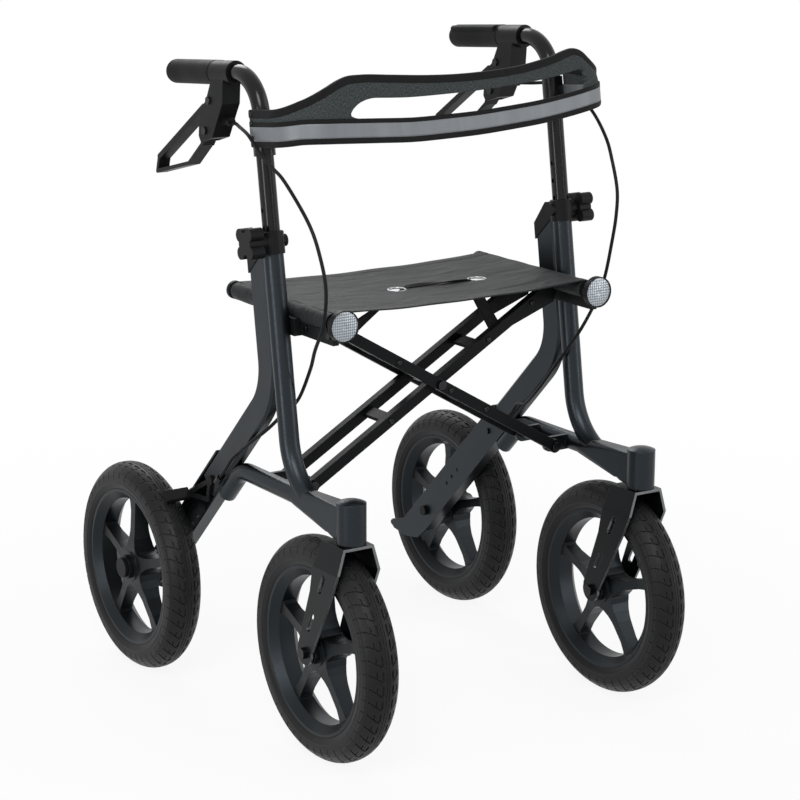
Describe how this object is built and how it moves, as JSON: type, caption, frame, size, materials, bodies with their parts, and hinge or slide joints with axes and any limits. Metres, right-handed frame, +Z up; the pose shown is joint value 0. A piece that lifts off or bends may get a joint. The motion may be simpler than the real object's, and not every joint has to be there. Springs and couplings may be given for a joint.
{
  "type": "all terrain rollator",
  "caption": "Four wheeled walking frame with large air tyres, swivelling front casters, hand brakes, a sling seat, a back band and a folding cross brace.",
  "frame": {"origin": "on the floor, midway between the four wheels", "axes": "+Z up, +X to the user's left, +Y to the rear, toward the user"},
  "size_m": [0.6378, 0.779, 0.9577],
  "materials": {
    "frame_paint": "satin metallic anthracite",
    "rim_paint": "satin metallic anthracite",
    "post_gloss": "glossy black",
    "moulded_black": "fine grained black",
    "grip_rubber": "soft black",
    "tyre_rubber": "dull black",
    "cable_sheath": "satin black",
    "bolt_steel": "zinc plated",
    "axle_black": "black",
    "reflector_silver": "clear over a prismatic back",
    "seat_cloth": "dark grey melange weave"
  },
  "bodies": {
    "frame_right": {"front_tube_right": "frame_paint", "rear_leg_right": "frame_paint", "lower_tube_right": "frame_paint", "caster_head_right": "frame_paint", "collar_right": "moulded_black", "rail_saddle_right": "moulded_black", "axle_bracket_right": "frame_paint", "frame_bolts_right": "bolt_steel", "rear_axle_right": "axle_black", "brake_cable_right": "cable_sheath", "hinge_pin_right": "bolt_steel"},
    "frame_left": {"front_tube_left": "frame_paint", "rear_leg_left": "frame_paint", "lower_tube_left": "frame_paint", "caster_head_left": "frame_paint", "collar_left": "moulded_black", "rail_saddle_left": "moulded_black", "axle_bracket_left": "frame_paint", "frame_bolts_left": "bolt_steel", "rear_axle_left": "axle_black", "brake_cable_left": "cable_sheath", "hinge_pin_left": "bolt_steel"},
    "cross_b": {"cross_bars_b": "frame_paint", "seat_rail_left": "moulded_black", "reflector_left": "reflector_silver", "seat_sling": "seat_cloth", "pivot_bolt": "bolt_steel"},
    "cross_a": {"cross_bars_a": "frame_paint", "seat_rail_right": "moulded_black", "reflector_right": "reflector_silver"},
    "handle_right": {"handle_post_right": "post_gloss", "grip_right": "grip_rubber", "brake_housing_right": "moulded_black", "lever_pin_right": "bolt_steel", "backrest": "seat_cloth"},
    "lever_right": {"brake_lever_right": "moulded_black"},
    "brake_right": {"brake_arm_right": "moulded_black"},
    "knob_right": {"clamp_knob_right": "moulded_black"},
    "caster_right": {"fork_right": "frame_paint", "fork_stem_right": "bolt_steel", "front_axle_right": "axle_black"},
    "front_wheel_right": {"front_tyre_right": "tyre_rubber", "front_rim_right": "rim_paint"},
    "rear_wheel_right": {"rear_tyre_right": "tyre_rubber", "rear_rim_right": "rim_paint"},
    "handle_left": {"handle_post_left": "post_gloss", "grip_left": "grip_rubber", "brake_housing_left": "moulded_black", "lever_pin_left": "bolt_steel"},
    "lever_left": {"brake_lever_left": "moulded_black"},
    "brake_left": {"brake_arm_left": "moulded_black"},
    "knob_left": {"clamp_knob_left": "moulded_black"},
    "caster_left": {"fork_left": "frame_paint", "fork_stem_left": "bolt_steel", "front_axle_left": "axle_black"},
    "front_wheel_left": {"front_tyre_left": "tyre_rubber", "front_rim_left": "rim_paint"},
    "rear_wheel_left": {"rear_tyre_left": "tyre_rubber", "rear_rim_left": "rim_paint"}
  },
  "joints": [
    {"name": "fold", "type": "hinge", "parent": "frame_right", "child": "cross_b", "pos_m": [-0.204, -0.1, 0.357], "axis": [0, -1, 0], "range_deg": [0, 40], "deforming": ["seat_sling", "backrest"]},
    {"name": "cross", "type": "hinge", "parent": "cross_b", "child": "cross_a", "pos_m": [0, -0.1, 0.47665], "axis": [0, -1, 0], "range_deg": [-80, 0]},
    {"name": "fold_left", "type": "hinge", "parent": "cross_a", "child": "frame_left", "pos_m": [0.204, -0.1, 0.357], "axis": [0, -1, 0], "range_deg": [0, 40]},
    {"name": "height_right", "type": "slide", "parent": "frame_right", "child": "handle_right", "axis": [0, 0.1478, 0.989], "range_m": [-0.075, 0.05], "deforming": ["brake_cable_right"]},
    {"name": "pull_right", "type": "hinge", "parent": "handle_right", "child": "lever_right", "pos_m": [-0.244, 0.05845, 0.83103], "axis": [1, 0, 0], "range_deg": [0, 22], "stiffness_Nm_per_rad": 3, "springref_deg": -17.19},
    {"name": "press_right", "type": "hinge", "parent": "frame_right", "child": "brake_right", "pos_m": [-0.253, 0.06512, 0.32438], "axis": [-1, 0, 0], "range_deg": [0, 4.4]},
    {"name": "turn_knob_right", "type": "hinge", "parent": "frame_right", "child": "knob_right", "pos_m": [-0.267, -0.10007, 0.69865], "axis": [1, 0, 0], "continuous": true},
    {"name": "swivel_right", "type": "hinge", "parent": "frame_right", "child": "caster_right", "pos_m": [-0.244, -0.299, 0.34], "axis": [0, 0, 1], "continuous": true},
    {"name": "roll_front_right", "type": "hinge", "parent": "caster_right", "child": "front_wheel_right", "pos_m": [-0.244, -0.232, 0.1575], "axis": [1, 0, 0], "continuous": true},
    {"name": "roll_rear_right", "type": "hinge", "parent": "frame_right", "child": "rear_wheel_right", "pos_m": [-0.286, 0.232, 0.1575], "axis": [1, 0, 0], "continuous": true},
    {"name": "height_left", "type": "slide", "parent": "frame_left", "child": "handle_left", "axis": [0, 0.1478, 0.989], "range_m": [-0.075, 0.05], "deforming": ["brake_cable_left"]},
    {"name": "pull_left", "type": "hinge", "parent": "handle_left", "child": "lever_left", "pos_m": [0.244, 0.06214, 0.85575], "axis": [1, 0, 0], "range_deg": [0, 22], "stiffness_Nm_per_rad": 3, "springref_deg": -17.19},
    {"name": "press_left", "type": "hinge", "parent": "frame_left", "child": "brake_left", "pos_m": [0.253, 0.06512, 0.32438], "axis": [-1, 0, 0], "range_deg": [0, 4.4]},
    {"name": "turn_knob_left", "type": "hinge", "parent": "frame_left", "child": "knob_left", "pos_m": [0.267, -0.10007, 0.69865], "axis": [1, 0, 0], "continuous": true},
    {"name": "swivel_left", "type": "hinge", "parent": "frame_left", "child": "caster_left", "pos_m": [0.244, -0.299, 0.34], "axis": [0, 0, 1], "continuous": true},
    {"name": "roll_front_left", "type": "hinge", "parent": "caster_left", "child": "front_wheel_left", "pos_m": [0.244, -0.232, 0.1575], "axis": [1, 0, 0], "continuous": true},
    {"name": "roll_rear_left", "type": "hinge", "parent": "frame_left", "child": "rear_wheel_left", "pos_m": [0.286, 0.232, 0.1575], "axis": [1, 0, 0], "continuous": true}
  ],
  "couplings": [
    {"joint": "cross", "follows": "fold", "ratio": -2},
    {"joint": "fold_left", "follows": "fold", "ratio": 1},
    {"joint": "height_left", "follows": "height_right", "ratio": 1},
    {"joint": "press_right", "follows": "pull_right", "ratio": 0.2},
    {"joint": "press_left", "follows": "pull_left", "ratio": 0.2}
  ]
}
